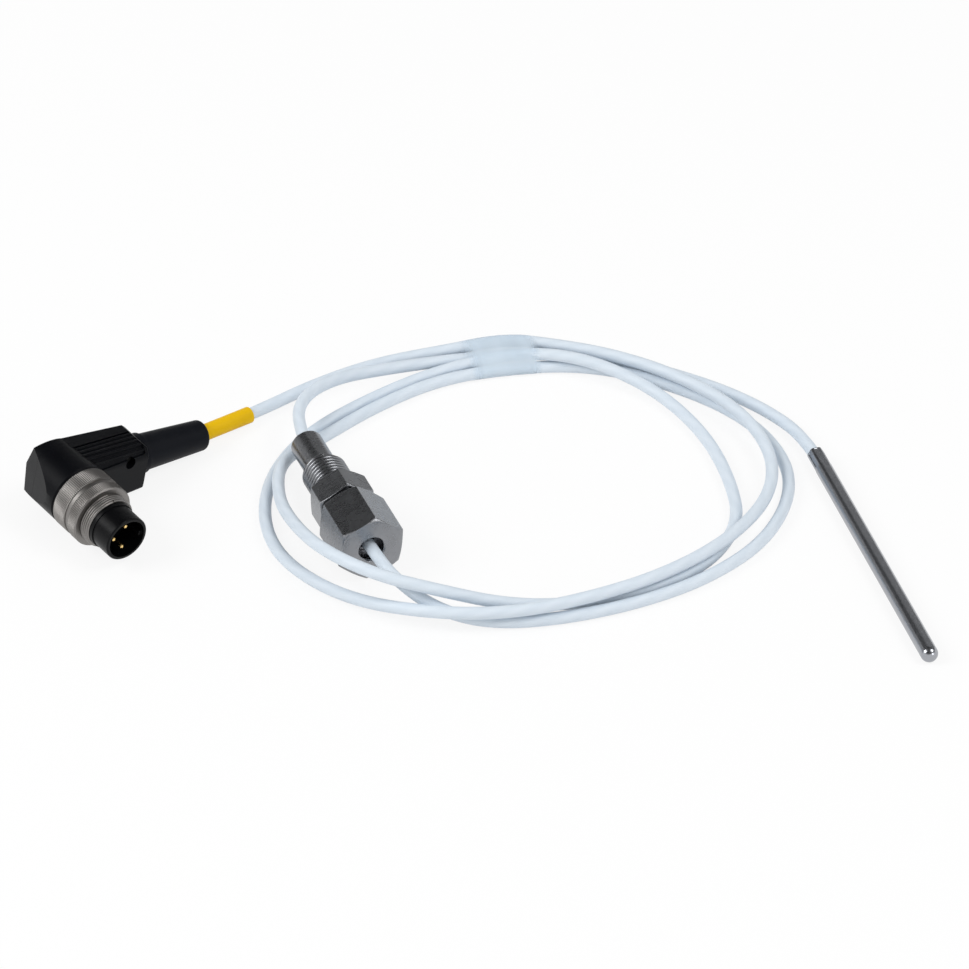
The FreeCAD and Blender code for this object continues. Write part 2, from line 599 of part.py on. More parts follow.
lead_notch = block((cup_back - 1, 4, -3), (INSERT_CUP_FLOOR - EDGE, flange_r + 1, 3))
pin_spots = []
for angle in PIN_ANGLES:
    turn = math.radians(angle)
    pin_spots.append((PIN_CIRCLE / 2 * math.cos(turn), PIN_CIRCLE / 2 * math.sin(turn)))
pin_holes = [rod(0, INSERT_FRONT, PIN_DIA + 2 * RUNNING, c, u) for c, u in pin_spots]
save("pin_insert", carrier.fuse(key).cut(pin_holes + [lead_notch]).removeSplitter(), PLUG)

pin_tip = INSERT_FRONT - PIN_SETBACK
for number, (c, u) in enumerate(pin_spots, 1):
    pin = turned([(PIN_REAR, 0), (PIN_REAR, PIN_DIA / 2), (pin_tip - 0.6, PIN_DIA / 2),
                  (pin_tip - 0.15, PIN_DIA / 2 - 0.2), (pin_tip, PIN_DIA / 2 - 0.45), (pin_tip, 0)])
    pin = pin.cut(rod(0, PIN_REAR + CUP_DEPTH, CUP_DIA))
    pin.translate(V(0, c, u))
    save("contact_pin_" + str(number), pin, PLUG)

# Conductors from the cable end into the cups of the pins.
cable_tail = V(*ROUTE[-1]).distanceToPoint(PLUG_CROSSING) - 3 * RUNNING
wires = []
for c, u in pin_spots:
    path = [V(0, cable_tail, u * 0.25), V(-0.6, cable_tail - 2, u * 0.4),
            V(-2, c + 2.2, u * 0.8), V(-2, c, u), V(PIN_REAR + CUP_DEPTH - 0.2, c, u)]
    wires.append(cord(path, WIRE_DIA)[0])
save("plug_wires", Part.makeCompound(wires), PLUG)

# Coupling ring and the clip that keeps it on the carrier.
ring_r = RING_DIA / 2
thread_r = COUPLING_THREAD_DIA / 2
ring_bore_r = INSERT_DIA / 2 + RUNNING
counter_r = CLIP_DIA / 2 + 2 * ASSEMBLY
shoulder = CLIP_BACK + CLIP_WIDTH + ASSEMBLY
ring = turned([(RING_BACK, counter_r), (RING_BACK, ring_r - EDGE), (RING_BACK + EDGE, ring_r),
               (RING_GROOVE_START, ring_r), (RING_GROOVE_START, ring_r - RING_GROOVE_DEPTH),
               (RING_GROOVE_END, ring_r - RING_GROOVE_DEPTH), (RING_GROOVE_END, ring_r),
               (RING_FRONT - EDGE, ring_r), (RING_FRONT, ring_r - EDGE), (RING_FRONT, thread_r),
               (COUPLING_THREAD_END - EDGE, thread_r), (COUPLING_THREAD_END, thread_r - EDGE),
               (COUPLING_THREAD_END, ring_bore_r), (shoulder, ring_bore_r), (shoulder, counter_r)])
save("coupling_ring", ring, PLUG)
clip = rod(CLIP_BACK, CLIP_BACK + CLIP_WIDTH, CLIP_DIA)
clip = clip.cut(rod(0, INSERT_FRONT, 2 * (clip_floor + RUNNING)))
clip = clip.cut(block((0, -RING_DIA, -CLIP_GAP / 2), (INSERT_FRONT, 0, CLIP_GAP / 2)))
save("ring_clip", clip, PLUG)

# Kink boot, held by a flange inside the housing.
flange_end = cavity_end - ASSEMBLY
collar_end = ARM_LENGTH + BOOT_COLLAR_LENGTH
boot = turned([(flange_end - BOOT_FLANGE_WIDTH, 0), (flange_end - BOOT_FLANGE_WIDTH, BOOT_FLANGE_DIA / 2),
               (flange_end, BOOT_FLANGE_DIA / 2), (flange_end, BOOT_SHANK_DIA / 2),
               (ARM_LENGTH + ASSEMBLY, BOOT_SHANK_DIA / 2), (ARM_LENGTH + ASSEMBLY, BOOT_COLLAR_DIA / 2),
               (collar_end, BOOT_COLLAR_DIA / 2), (collar_end, BOOT_LARGE / 2),
               (boot_end, BOOT_SMALL / 2), (boot_end, 0)])
tip_edges = []
for edge in boot.Edges:
    box = edge.BoundBox
    if box.XMin > boot_end - 0.01 and box.ZMax > BOOT_SMALL / 2 - 0.01:
        tip_edges.append(edge)
boot = boot.makeFillet(BOOT_ROUND, tip_edges)
boot = boot.cut(rod(0, boot_end + 1, CABLE_DIA + 2 * BOOT_ROOM))
save("kink_boot", boot.removeSplitter(), BOOT)
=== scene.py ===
"""Looks of the temperature probe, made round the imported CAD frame."""

import json
import math

import bpy
from mathutils import Matrix, Vector

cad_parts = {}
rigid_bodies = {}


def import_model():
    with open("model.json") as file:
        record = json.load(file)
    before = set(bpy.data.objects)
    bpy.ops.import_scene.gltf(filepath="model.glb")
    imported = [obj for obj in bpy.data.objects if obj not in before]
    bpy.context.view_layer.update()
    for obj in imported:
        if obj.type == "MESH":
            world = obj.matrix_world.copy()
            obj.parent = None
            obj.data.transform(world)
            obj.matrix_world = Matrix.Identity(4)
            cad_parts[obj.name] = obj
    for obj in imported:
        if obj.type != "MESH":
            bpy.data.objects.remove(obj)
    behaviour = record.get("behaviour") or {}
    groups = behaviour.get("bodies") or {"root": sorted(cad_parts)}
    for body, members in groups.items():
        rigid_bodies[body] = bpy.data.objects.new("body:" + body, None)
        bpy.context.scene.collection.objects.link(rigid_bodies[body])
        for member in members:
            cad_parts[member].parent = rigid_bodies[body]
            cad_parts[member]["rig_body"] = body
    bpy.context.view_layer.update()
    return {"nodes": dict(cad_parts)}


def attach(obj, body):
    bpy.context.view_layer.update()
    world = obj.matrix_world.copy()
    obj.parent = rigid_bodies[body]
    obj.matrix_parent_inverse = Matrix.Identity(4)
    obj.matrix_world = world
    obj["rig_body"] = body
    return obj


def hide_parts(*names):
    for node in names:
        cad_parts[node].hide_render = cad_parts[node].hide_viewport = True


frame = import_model()
NODES = frame["nodes"]
MM = 0.001
FULL_TURN = 2 * math.pi

# Camera of the photograph.
CAMERA_AT = Vector((-0.4491, -1.1800, 0.9405))
CAMERA_LOOKS_AT = Vector((-0.09487, 0.06503, 0.0))
CAMERA_LENS = 207.35
CAMERA_SENSOR = 36.0


def turn_about(axis, degrees):
    """A turn about one axis."""
    return Matrix.Rotation(math.radians(degrees), 4, axis)


# Local frames with X along the fitting and along the plug's pins.
FITTING_PLACE = Matrix.Translation((-0.14248, 0.08434, 0.01045)) @ turn_about("Z", -84.7)
PLUG_PLACE = (Matrix.Translation((-0.2147, 0.08486, 0.01277))
              @ turn_about("Z", -67.08) @ turn_about("Y", 5.64) @ turn_about("X", -9.56))

# Cable, and the twist of the cores inside its jacket.
CABLE_DIA = 3.6 * MM
CABLE_LENGTH = 1.513
CABLE_ROUND_STEPS = 5
CABLE_RUN_STEPS = 8
CORES = 3
CORE_LAY = 9 * MM
ROUTE = [
    # sheath to the film
    (0, 0.040, 0.0025), (0, 0.0575, 0.0025), (-0.006, 0.0745, 0.0021), (-0.0175, 0.0913, 0.0019),
    (-0.0355, 0.1082, 0.0019), (-0.058, 0.121, 0.0019), (-0.084, 0.1252, 0.0019),
    # climb to the spigot and straight through the fitting
    (-0.108, 0.1225, 0.0046), (-0.127, 0.1165, 0.0084), (-0.140, 0.105, 0.01045),
    (-0.1429, 0.088, 0.01045), (-0.141, 0.070, 0.01045), (-0.1394, 0.050, 0.01045),
    (-0.1376, 0.031, 0.01045), (-0.1346, 0.016, 0.0096),
    # down to the floor and round the outer turn
    (-0.1254, 0.0062, 0.0044), (-0.112, -0.0008, 0.0019), (-0.093, -0.0042, 0.0019),
    (-0.070, -0.0032, 0.0019), (-0.047, 0.0026, 0.0019), (-0.0256, 0.0154, 0.0019),
    (-0.0108, 0.037, 0.0019), (-0.009, 0.059, 0.0019), (-0.017, 0.0805, 0.0019),
    (-0.034, 0.1002, 0.0019), (-0.051, 0.1118, 0.0019), (-0.071, 0.1164, 0.0019),
    (-0.093, 0.1168, 0.0019), (-0.1155, 0.1086, 0.0019), (-0.136, 0.0966, 0.0019),
    # up along the nut, over the lead that leaves it, round the inner turn
    (-0.1506, 0.0845, 0.0056), (-0.1556, 0.066, 0.0064), (-0.1552, 0.0465, 0.0102),
    (-0.1515, 0.0275, 0.0144), (-0.1405, 0.0124, 0.0148), (-0.124, 0.0068, 0.0102),
    (-0.106, 0.0042, 0.0036), (-0.088, 0.0012, 0.0019), (-0.066, 0.0014, 0.0019),
    (-0.0454, 0.0086, 0.0019), (-0.031, 0.025, 0.0019), (-0.0273, 0.045, 0.0019),
    (-0.0272, 0.0675, 0.0019), (-0.033, 0.0893, 0.0024), (-0.0445, 0.104, 0.0049),
    (-0.0575, 0.1134, 0.0062), (-0.072, 0.1196, 0.0049), (-0.093, 0.121, 0.0019),
    (-0.115, 0.1133, 0.0019),
    # left side on the floor, then on top of the other turns
    (-0.138, 0.1012, 0.0019), (-0.1538, 0.0833, 0.0019), (-0.1612, 0.062, 0.0019),
    (-0.160, 0.0413, 0.0019), (-0.147, 0.0198, 0.0022), (-0.127, 0.0018, 0.0066),
    (-0.107, -0.0032, 0.0062), (-0.086, -0.0024, 0.0059), (-0.062, 0.002, 0.0059),
    (-0.039, 0.0124, 0.0059), (-0.020, 0.0305, 0.0049), (-0.0126, 0.051, 0.0051),
    (-0.016, 0.074, 0.006), (-0.0288, 0.095, 0.0061), (-0.0435, 0.110, 0.0059),
    (-0.058, 0.1192, 0.0059), (-0.071, 0.1253, 0.0063), (-0.089, 0.1298, 0.0025),
    # out to the marker, the boot and the plug
    (-0.110, 0.1298, 0.0019), (-0.1305, 0.124, 0.0019), (-0.1493, 0.1151, 0.0022),
    (-0.17051, 0.10441, 0.00467), (-0.18945, 0.09603, 0.00814), (-0.20748, 0.08805, 0.01145),
]

# Film: stations along the coil and the wide sleeve it starts as, in millimetres.
FILM_STATIONS = [-85.0, -82.0, -79.0, -76.0, -73.0, -70.0, -67.0, -65.0, -63.0]
FILM_SLEEVE = 6.0
FILM_COLUMNS = 120
# Its gap to the cable, its thickness, and where it fades out at both ends.
FILM_ROOM = 0.05 * MM
FILM_THICKNESS = 0.05 * MM
FILM_LEFT_FADE = (-85.0 * MM, -80.0 * MM)
FILM_RIGHT_FADE = (-63.0 * MM, -67.0 * MM)
# The runs that it holds lie behind this line. Sides that face a way by more than this share limit
# how far the wrap reaches that way.
COIL_BACK = 0.100
WRAP_FACING = 0.05

# Coupling ring: distance along the pins and radius, in millimetres.
RING_COLUMNS = 440
RING_PROFILE = [
    (10.6, 8.5), (10.6, 9.25), (11.0, 9.7), (11.35, 9.7), (15.85, 9.7), (16.2, 9.5), (16.2, 9.3),
    (17.6, 9.3), (17.6, 9.5), (17.95, 9.7), (21.0, 9.7), (21.4, 9.3), (21.4, 7.6), (24.5, 7.6),
    (24.8, 7.3), (24.8, 6.9), (13.3, 6.9), (13.3, 8.5), (10.6, 8.5),
]
# Its knurl: two bands, outside a radius, with two columns of four pressed in.
KNURL_BANDS = [(11.2, 16.0), (17.8, 21.1)]
KNURL_OVER = 9.6
KNURL_PERIOD = 4
KNURL_STANDING = 2
KNURL_DEPTH = 0.987

# Thread ridges: points round the profile, half its width against the pitch, steps in a turn.
RIDGE_POINTS = 8
RIDGE_HALF_WIDTH = 0.46
RIDGE_STEPS = 72

# Pipe thread in the CAD: its place along the fitting and its radius, in millimetres, between two
# limits each, and the root's radius against the outer one.
THREAD_BAND = (13.9, 26.1)
THREAD_OUTSIDE = (5.9, 6.7)
THREAD_ROOT = 0.89

# Crimp of the sheath: where its flats begin, and an area that only the flats are over.
CRIMP_START = 42.0 * MM
CRIMP_FLAT = 10.0 * MM * MM
# The dent in each flat: its distance from the flat's edge, its slope's width and its depth.
DENT_MARGIN = 0.3 * MM
DENT_SLOPE = 0.15 * MM
DENT_DEPTH = 0.16 * MM

# Points nearer than this become one, and so do faces that meet at less than this, in degrees.
CAD_JOIN = 0.0005 * MM
MODEL_JOIN = 0.001 * MM
FLAT_ANGLE = 0.2

# Softened edges: from which angle, in how many steps, and how wide.
EDGE_ANGLE = 35.0
EDGE_SEGMENTS = 2
SHEATH_EDGE = 0.05 * MM
FITTING_EDGE = 0.12 * MM
BOOT_EDGE = 0.2 * MM
MARKER_EDGE = 0.08 * MM
INSERT_EDGE = 0.12 * MM

# Faces that meet at less than this, in degrees, look like one round face.
SMOOTH_ANGLE = 30.0
HOUSING_ANGLE = 18.0
KNURL_ANGLE = 25.0
ROUND_ANGLE = 60.0

# Relief of the finishes.
BRUSH_DEPTH = 0.0008 * MM
BRUSH_STRENGTH = 0.15
JACKET_DEPTH = 0.05 * MM

# Studio. Lamps: place, size and power. Cards: place, width, height and grey.
OBJECT_MIDDLE = Vector((-0.095, 0.05, 0.005))
FLOOR_SIZE = 14.0
FLOOR_WHITE = 0.86
SURROUND_LIGHT = 0.5
WHITE = (1, 1, 1, 1)
PAPER_WHITE = (0.9, 0.9, 0.9, 1)
LAMPS = [
    ("left", (-1.35, 0.10, 1.05), 0.8, 13.0),
    ("right", (0.75, -0.55, 1.35), 0.7, 9.0),
    ("front", (0.65, -1.15, 0.50), 0.35, 2.0),
]
CARDS = [
    ("over", (-0.1, 0.1, 1.8), 8.0, 8.0, 0.12),
    ("back", (-0.42, 1.05, 0.90), 0.6, 0.7, 0.09),
    ("right", (0.50, 1.00, 0.52), 1.3, 1.1, 0.30),
    ("left", (-1.10, 0.95, 0.34), 1.5, 0.7, 0.42),
]
CARD_MOTTLE = 1.2


class Value:
    """A node socket that takes part in Python arithmetic."""

    def __init__(self, finish, socket):
        self.finish = finish
        self.socket = socket

    def _math(self, operation, first, second):
        return self.finish.node("ShaderNodeMath", {"operation": operation}, {0: first, 1: second})

    def __add__(self, other):
        return self._math("ADD", self, other)

    def __radd__(self, other):
        return self._math("ADD", other, self)

    def __sub__(self, other):
        return self._math("SUBTRACT", self, other)

    def __rsub__(self, other):
        return self._math("SUBTRACT", other, self)

    def __mul__(self, other):
        return self._math("MULTIPLY", self, other)

    def __rmul__(self, other):
        return self._math("MULTIPLY", other, self)

    def sine(self):
        return self._math("SINE", self, 0.0)

    def larger(self, other):
        return self._math("MAXIMUM", self, other)


class Finish:
    """The nodes of one procedural surface, or of the surround."""

    def __init__(self, owner, shader="Principled BSDF", **constants):
        owner.use_nodes = True
        self.owner = owner
        self.tree = owner.node_tree
        self.shader = self.tree.nodes[shader]
        for label, setting in constants.items():
            self.shader.inputs[label.replace("_", " ")].default_value = setting

    def node(self, kind, settings, inputs, output=0):
        """Add one node: settings first, then the values or links of its sockets."""
        made = self.tree.nodes.new(kind)
        for label, setting in settings.items():
            setattr(made, label, setting)
        for label, value in inputs.items():
            if isinstance(value, Value):
                self.tree.links.new(value.socket, made.inputs[label])
            else:
                made.inputs[label].default_value = value
        return Value(self, made.outputs[output])

    def feed(self, label, value):
        """Link what varies to the shader."""
        self.tree.links.new(value.socket, self.shader.inputs[label])

    def place(self, scale=(1, 1, 1), turn=None):
        """Object coordinates, scaled, in the local frame of a turned piece."""
        here = self.node("ShaderNodeTexCoord", {}, {}, "Object")
        if turn is not None:
            back = turn.inverted()
            here = self.node("ShaderNodeMapping", {"vector_type": "POINT"},
                             {"Vector": here, "Location": back.translation,
                              "Rotation": back.to_euler()})
        return self.node("ShaderNodeMapping", {"vector_type": "POINT"},
                         {"Vector": here, "Scale": scale})

    def part_of(self, vector, axis):
        """One part of a vector: 0, 1 or 2."""
        return self.node("ShaderNodeSeparateXYZ", {}, {"Vector": vector}, axis)

    def noise(self, vector, scale, detail=2.0, roughness=0.5):
        """Plain noise from 0 to 1."""
        return self.node("ShaderNodeTexNoise", {},
                         {"Vector": vector, "Scale": scale, "Detail": detail,
                          "Roughness": roughness})

    def fade(self, value, start, end):
        """0 at the start, 1 at the end, smooth between."""
        return self.node("ShaderNodeMapRange", {"interpolation_type": "SMOOTHSTEP"},
                         {"Value": value, "From Min": start, "From Max": end})

    def shades(self, amount, dark, light):
        """Colour between two shades."""
        return self.node("ShaderNodeMix", {"data_type": "RGBA"},
                         {0: amount, 6: (*dark, 1), 7: (*light, 1)}, 2)

    def bump(self, height, depth, strength=1.0):
        """Relief of a given depth in metres."""
        self.feed("Normal", self.node("ShaderNodeBump", {},
                                      {"Height": height, "Distance": depth,
                                       "Strength": strength}))

    def background_rays(self):
        """1 for rays that show the background: straight, mirrored or through a clear piece."""
        straight, mirrored, through = [
            self.node("ShaderNodeLightPath", {}, {}, ray)
            for ray in ("Is Camera Ray", "Is Glossy Ray", "Is Transmission Ray")]
        return straight.larger(mirrored).larger(through)


def brushed(name, dark, light, roughness, grain, turn=None):
    """Metal with a fine drawn or turned grain; the noises vary its roughness to both sides."""
    finish = Finish(bpy.data.materials.new(name), Metallic=1.0)
    streaks = finish.noise(finish.place(grain, turn), scale=1.0, detail=4.0, roughness=0.6)
    cloud = finish.noise(finish.place(turn=turn), scale=160.0, detail=3.0)
    speck = finish.noise(finish.place(turn=turn), scale=5200.0)
    tone = streaks * 0.45 + cloud * 0.43 + speck * 0.12
    finish.feed("Base Color", finish.shades(tone, dark, light))
    finish.feed("Roughness", streaks * 0.12 + cloud * 0.08 + (roughness - 0.1))
    finish.bump(streaks, BRUSH_DEPTH, BRUSH_STRENGTH)
    return finish


def moulded(name, dark, light, roughness, grain, depth, shine=0.5):
    """Plastic or rubber with a fine moulded skin; the noises vary its roughness to both sides."""
    finish = Finish(bpy.data.materials.new(name), Specular_IOR_Level=shine)
    skin = finish.noise(finish.place(), scale=grain, detail=3.0, roughness=0.6)
    cloud = finish.noise(finish.place(), scale=90.0)
    finish.feed("Base Color", finish.shades(cloud, dark, light))
    finish.feed("Roughness", skin * 0.14 + cloud * 0.08 + (roughness - 0.11))
    finish.bump(skin, depth)
    return finish


def cable_jacket():
    """Pale jacket; the twisted cores show as a faint slanting ripple."""
    finish = Finish(bpy.data.materials.new("cable_jacket"), Specular_IOR_Level=0.35)
    place = finish.node("ShaderNodeTexCoord", {}, {}, "UV")
    along = finish.part_of(place, 0)
    around = finish.part_of(place, 1)
    twist = along * (FULL_TURN * CABLE_LENGTH / CORE_LAY) + around * (FULL_TURN * CORES)
    ripple = twist.sine() * 0.5 + 0.5
    skin = finish.noise(finish.place(), scale=2200.0, detail=3.0, roughness=0.6)
    cloud = finish.noise(finish.place(), scale=55.0, detail=3.0)
    tone = ripple * 0.3 + cloud * 0.5 + skin * 0.2
    finish.feed("Base Color", finish.shades(tone, (0.62, 0.70, 0.78), (0.72, 0.79, 0.86)))
    finish.feed("Roughness", skin * 0.15 + 0.42)
    finish.bump(ripple * 0.6 + skin * 0.4, JACKET_DEPTH)
    return finish


def clear_film():
    """Thin clear film, shrunk on, a little milky, fading out at both ends."""
    finish = Finish(bpy.data.materials.new("clear_film"), IOR=1.45, Specular_IOR_Level=0.3)
    haze = finish.noise(finish.place((1, 0.5, 1)), scale=90.0)
    finish.feed("Base Color", finish.shades(haze, (0.72, 0.83, 0.93), (0.80, 0.90, 0.98)))
    finish.feed("Roughness", haze * 0.15 + 0.4)
    along = finish.part_of(finish.place(), 0)
    from_left = finish.fade(along, *FILM_LEFT_FADE)
    from_right = finish.fade(along, *FILM_RIGHT_FADE)
    finish.feed("Alpha", from_left * from_right * (haze * 0.3 + 0.36))
    return finish


SHEATH_STEEL = brushed("sheath_steel", dark=(0.31, 0.32, 0.345), light=(0.44, 0.453, 0.48),
                       roughness=0.24, grain=(1500, 40, 1500))
FITTING_STEEL = brushed("fitting_steel", dark=(0.18, 0.185, 0.197), light=(0.35, 0.357, 0.375),
                        roughness=0.28, grain=(1300, 420, 420), turn=FITTING_PLACE)
RING_NICKEL = brushed("ring_nickel", dark=(0.19, 0.181, 0.174), light=(0.29, 0.277, 0.265),
                      roughness=0.42, grain=(2600, 500, 500), turn=PLUG_PLACE)
SCREW_STEEL = brushed("screw_steel", dark=(0.05, 0.05, 0.05), light=(0.1, 0.1, 0.1),
                      roughness=0.4, grain=(1500, 1500, 1500))
CLAMP_STEEL = brushed("clamp_steel", dark=(0.30, 0.30, 0.31), light=(0.5, 0.5, 0.5),
                      roughness=0.3, grain=(1500, 1500, 1500))
PIN_GOLD = brushed("pin_gold", dark=(0.75, 0.50, 0.18), light=(0.92, 0.68, 0.30),
                   roughness=0.24, grain=(2000, 200, 200), turn=PLUG_PLACE)
COPPER = brushed("conductor", dark=(0.50, 0.24, 0.12), light=(0.72, 0.38, 0.2),
                 roughness=0.35, grain=(1500, 1500, 1500))
HOUSING_PLASTIC = moulded("housing_plastic", dark=(0.0012, 0.0014, 0.0024),
                          light=(0.0026, 0.003, 0.0046), roughness=0.40, grain=5200.0,
                          depth=0.012 * MM, shine=0.10)
BOOT_RUBBER = moulded("boot_rubber", dark=(0.0035, 0.0042, 0.0065), light=(0.006, 0.007, 0.0105),
                      roughness=0.5, grain=3600.0, depth=0.02 * MM, shine=0.10)
INSERT_PLASTIC = moulded("insert_plastic", dark=(0.0016, 0.0017, 0.0022),
                         light=(0.003, 0.0032, 0.004), roughness=0.34, grain=4200.0,
                         depth=0.01 * MM, shine=0.13)
MARKER_YELLOW = moulded("marker_yellow", dark=(0.74, 0.44, 0.0), light=(0.84, 0.52, 0.002),
                        roughness=0.42, grain=2600.0, depth=0.015 * MM, shine=0.15)
CERAMIC = moulded("ceramic", dark=(0.78, 0.75, 0.70), light=(0.88, 0.86, 0.82),
                  roughness=0.55, grain=3000.0, depth=0.01 * MM)
SEAL = moulded("seal", dark=(0.55, 0.55, 0.53), light=(0.66, 0.66, 0.64),
               roughness=0.6, grain=3000.0, depth=0.02 * MM)
CABLE_JACKET = cable_jacket()
CLEAR_FILM = clear_film()


def added(name, data):
    """A new object in the scene."""
    made = bpy.data.objects.new(name, data)
    bpy.context.scene.collection.objects.link(made)
    return made


def select_only(piece):
    """Deselect everything else and make this piece the active one."""
    bpy.ops.object.select_all(action="DESELECT")
    piece.select_set(True)
    bpy.context.view_layer.objects.active = piece


def dress(piece, finish):
    """Give a piece its finish."""
    piece.data.materials.clear()
    piece.data.materials.append(finish.owner)


def stand_for(piece, node, finish):
    """Let a finished piece stand for a CAD node, on the same body."""
    dress(piece, finish)
    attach(piece, NODES[node]["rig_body"])
    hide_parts(node)


def edit_where(piece, kind, test):
    """Open a piece for editing with the points or faces selected that pass a test."""
    select_only(piece)
    bpy.ops.object.mode_set(mode="EDIT")
    bpy.ops.mesh.select_mode(type=kind)
    bpy.ops.mesh.select_all(action="DESELECT")
    bpy.ops.object.mode_set(mode="OBJECT")
    for element in piece.data.vertices if kind == "VERT" else piece.data.polygons:
        element.select = test(element)
    bpy.ops.object.mode_set(mode="EDIT")


def press_in(piece, test, ratio):
    """Bring the points that pass a test nearer to the local X axis."""
    edit_where(piece, "VERT", lambda vertex: test(vertex.co))
    bpy.ops.transform.resize(value=(1, ratio, ratio), center_override=(0, 0, 0))
    bpy.ops.object.mode_set(mode="OBJECT")


def modify(piece, kind, **settings):
    """Apply one modifier to a piece."""
    select_only(piece)
    modifier = piece.modifiers.new(kind.lower(), kind)
    for label, setting in settings.items():
        setattr(modifier, label, setting)
    bpy.ops.object.modifier_apply(modifier=modifier.name)


def joined_copy(node):
    """A copy of a CAD node's mesh with its loose triangles joined."""
    piece = added(node + "_shown", NODES[node].data.copy())
    select_only(piece)
    bpy.ops.mesh.customdata_custom_splitnormals_clear()
    bpy.ops.object.mode_set(mode="EDIT")
    bpy.ops.mesh.select_all(action="SELECT")
    bpy.ops.mesh.remove_doubles(threshold=CAD_JOIN)
    bpy.ops.mesh.dissolve_limited(angle_limit=math.radians(FLAT_ANGLE))
    bpy.ops.object.mode_set(mode="OBJECT")
    return piece


def smooth(piece, angle):
    """Smooth the round faces and keep the edges."""
    select_only(piece)
    bpy.ops.object.shade_smooth_by_angle(angle=math.radians(angle))


def polish(piece, edge, angle=SMOOTH_ANGLE):
    """Round the sharp edges, smooth the round faces, and let the large faces look flat."""
    if edge:
        modify(piece, "BEVEL", width=edge, segments=EDGE_SEGMENTS, limit_method="ANGLE",
               angle_limit=math.radians(EDGE_ANGLE), use_clamp_overlap=False)
    smooth(piece, angle)
    modify(piece, "WEIGHTED_NORMAL", keep_sharp=True)


def refined(node, finish, edge=0.0, angle=SMOOTH_ANGLE):
    """Let a polished copy of a CAD node stand for it."""
    piece = joined_copy(node)
    polish(piece, edge, angle)
    stand_for(piece, node, finish)


def close_up(piece):
    """Join a modelled piece's doubled points, close a ridge's ends and turn the faces outward."""
    select_only(piece)
    bpy.ops.object.mode_set(mode="EDIT")
    bpy.ops.mesh.select_all(action="SELECT")
    bpy.ops.mesh.remove_doubles(threshold=MODEL_JOIN)
    bpy.ops.mesh.fill_holes(sides=RIDGE_POINTS)
    bpy.ops.mesh.select_all(action="SELECT")
    bpy.ops.mesh.normals_make_consistent(inside=False)
    bpy.ops.object.mode_set(mode="OBJECT")


def opened_circle(name, points, radius, **place):
    """A circle of points, named, applied and open for editing with all of it selected."""
    bpy.ops.object.select_all(action="DESELECT")
    bpy.ops.mesh.primitive_circle_add(vertices=points, radius=radius, **place)
    piece = bpy.context.object
    piece.name = name
    bpy.ops.object.transform_apply()
    bpy.ops.object.mode_set(mode="EDIT")
    bpy.ops.mesh.select_all(action="SELECT")
    return piece


def turned(name, profile, columns):
    """A piece turned about its local X axis: a ring of points pulled from station to station.

    The profile's stations and radii are in millimetres.
    """
    station, reach = profile[0]
    piece = opened_circle(name, columns, reach * MM, location=(station * MM, 0, 0),
                          rotation=(0, math.pi / 2, 0))
    for next_station, next_reach in profile[1:]:
        step = (next_station - station) * MM
        ratio = next_reach / reach
        bpy.ops.mesh.extrude_region_move(TRANSFORM_OT_translate={"value": (step, 0, 0)})
        bpy.ops.transform.resize(value=(1, ratio, ratio),
                                 center_override=(next_station * MM, 0, 0))
        station, reach = next_station, next_reach
    bpy.ops.object.mode_set(mode="OBJECT")
    close_up(piece)
    return piece


def ridge(name, start, pitch, turns, root, crest):
    """A thread's rounded ridge, carried round and along the local X axis, in millimetres."""
    piece = opened_circle(name, RIDGE_POINTS, 1.0, rotation=(math.pi / 2, 0, 0))
    bpy.ops.transform.resize(value=(RIDGE_HALF_WIDTH * pitch * MM, 1, (crest - root) * MM),
                             center_override=(0, 0, 0))
    bpy.ops.transform.translate(value=(start * MM, 0, root * MM))
    bpy.ops.object.mode_set(mode="OBJECT")
    modify(piece, "SCREW", axis="X", screw_offset=pitch * MM, iterations=turns,
           steps=RIDGE_STEPS, render_steps=RIDGE_STEPS)
    close_up(piece)
    smooth(piece, ROUND_ANGLE)
    return piece


def join(first, second):
    """Make two shells one piece, under the first one's name."""
    select_only(first)
    second.select_set(True)
    bpy.ops.object.join()


def from_axis(point):
    """Distance of a point from the local X axis, in millimetres."""
    return math.hypot(point.y, point.z) / MM


# Cable: one smooth curve on the route's own points.
cable_line = bpy.data.curves.new("cable_run", "CURVE")
cable_line.dimensions = "3D"
cable_line.bevel_depth = CABLE_DIA / 2
cable_line.bevel_resolution = CABLE_ROUND_STEPS
cable_line.use_fill_caps = True
spline = cable_line.splines.new("NURBS")
spline.points.add(len(ROUTE) - 1)
for point, place in zip(spline.points, ROUTE):
    point.co = (*place, 1.0)
spline.order_u = 3
spline.use_endpoint_u = True
spline.resolution_u = CABLE_RUN_STEPS
cable = added("cable_run", cable_line)
stand_for(cable, "cable", CABLE_JACKET)

# Points on the cable's own line, for what is wrapped round it.
bare_line = cable_line.copy()
bare_line.bevel_depth = 0.0
bare_run = added("bare_run", bare_line)
run_mesh = bpy.data.meshes.new_from_object(bare_run)
cable_points = [vertex.co.copy() for vertex in run_mesh.vertices]
bpy.data.objects.remove(bare_run)
bpy.data.meshes.remove(run_mesh)
bpy.data.curves.remove(bare_line)


def runs_at(x):
    """Where the cable's runs at the back of the coil cross an upright plane."""
    places = []
    for here, there in zip(cable_points, cable_points[1:]):
        if (here.x - x) * (there.x - x) <= 0 and here.x != there.x and here.y > COIL_BACK:
            cross = here.lerp(there, (x - here.x) / (there.x - here.x))
            places.append(Vector((cross.y, cross.z)))
    return places


